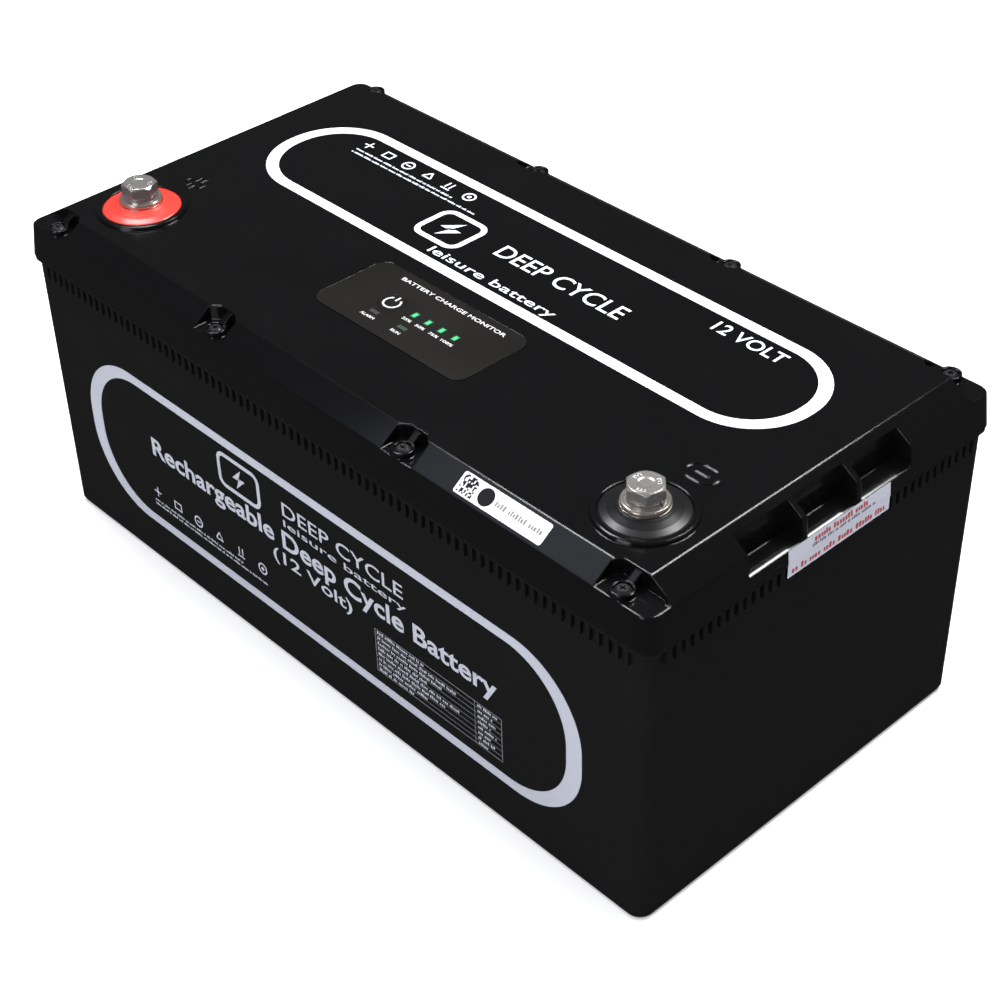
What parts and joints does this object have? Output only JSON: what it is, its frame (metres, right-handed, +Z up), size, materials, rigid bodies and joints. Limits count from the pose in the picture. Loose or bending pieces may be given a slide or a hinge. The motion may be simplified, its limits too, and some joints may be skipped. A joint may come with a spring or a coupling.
{
  "type": "deep cycle battery",
  "caption": "Rectangular sealed deep cycle battery case with bevelled screwed lid, bolt-down terminals, charge display with push button and grip recesses in the ends",
  "frame": {"origin": "centre of the bounding box on the base, where the battery stands", "axes": "+X along the length towards the negative terminal, -Y towards the labelled long face, +Z up"},
  "size_m": [0.5222, 0.269, 0.2381],
  "materials": {
    "case_black": "fine grain",
    "lid_black": "satin gloss",
    "gasket_rubber": "matt",
    "black_steel": "black zinc",
    "positive_red": "gloss",
    "negative_black": "gloss",
    "plated_brass": "tin plated",
    "stainless": "bright",
    "panel_film": "satin film",
    "light_green": "lit lens",
    "light_grey": "unlit lens",
    "light_dim_green": "dim lens",
    "switch_black": "moulded",
    "board_green": "solder mask",
    "print_white": "ink",
    "print_lavender": "ink",
    "label_white": "coated",
    "seal_film": "satin film",
    "cell_can": "blue film",
    "insulator": "fibre sheet",
    "plate_aluminium": "mill",
    "strap_steel": "mill",
    "busbar_copper": "bright",
    "cable_red": "smooth",
    "cable_black": "smooth",
    "wire_white": "smooth",
    "module_blue": "solder mask",
    "foam_grey": "closed cell"
  },
  "bodies": {
    "case": {"container": "case_black", "lid": "lid_black", "lid_gasket": "gasket_rubber", "lid_screws": "black_steel", "positive_terminal_disc": "positive_red", "negative_terminal_disc": "negative_black", "positive_terminal_insert": "plated_brass", "negative_terminal_insert": "plated_brass", "display_overlay": "panel_film", "display_board": "board_green", "charge_level_lights": "light_green", "alarm_light": "light_grey", "run_light": "light_dim_green", "power_switch": "switch_black", "top_print": "print_white", "front_print": "print_lavender", "code_label": "label_white", "seal_sticker": "seal_film", "cell_1": "cell_can", "cell_2": "cell_can", "cell_3": "cell_can", "cell_4": "cell_can", "cell_spacers": "insulator", "left_end_plate": "plate_aluminium", "right_end_plate": "plate_aluminium", "pack_straps": "strap_steel", "cell_busbars": "busbar_copper", "busbar_nuts": "stainless", "battery_management_board": "board_green", "board_heat_sink": "plate_aluminium", "positive_cable": "cable_red", "negative_cell_cable": "cable_black", "negative_output_cable": "cable_black", "cable_lugs": "busbar_copper", "lug_bolts": "stainless", "sense_harness": "wire_white", "temperature_sensor": "switch_black", "wireless_module": "module_blue", "display_ribbon": "wire_white", "base_foam_pad": "foam_grey", "top_foam_strips": "foam_grey"},
    "positive_washers": {"positive_flat_washer": "stainless", "positive_spring_washer": "stainless"},
    "positive_bolt": {"positive_terminal_bolt": "stainless"},
    "negative_washers": {"negative_flat_washer": "stainless", "negative_spring_washer": "stainless"},
    "negative_bolt": {"negative_terminal_bolt": "stainless"},
    "button": {"power_button": "panel_film"}
  },
  "joints": [
    {"name": "positive_bolt_lift", "type": "slide", "parent": "case", "child": "positive_washers", "axis": [0, 0, 1], "range_m": [0, 0.018]},
    {"name": "positive_bolt_turn", "type": "hinge", "parent": "positive_washers", "child": "positive_bolt", "pos_m": [-0.209, -0.0823, 0.2315], "axis": [0, 0, 1], "range_deg": [0, 3702.9]},
    {"name": "negative_bolt_lift", "type": "slide", "parent": "case", "child": "negative_washers", "axis": [0, 0, 1], "range_m": [0, 0.018]},
    {"name": "negative_bolt_turn", "type": "hinge", "parent": "negative_washers", "child": "negative_bolt", "pos_m": [0.209, -0.0823, 0.2315], "axis": [0, 0, 1], "range_deg": [0, 3702.9]},
    {"name": "power_button_press", "type": "slide", "parent": "case", "child": "button", "axis": [0, 0, -1], "range_m": [0, 0.0005], "stiffness_N_per_m": 600, "springref_m": -0.0003}
  ],
  "couplings": [
    {"joint": "positive_bolt_turn", "follows": "positive_bolt_lift", "rad_per_m": 3590.4},
    {"joint": "negative_bolt_turn", "follows": "negative_bolt_lift", "rad_per_m": 3590.4}
  ]
}
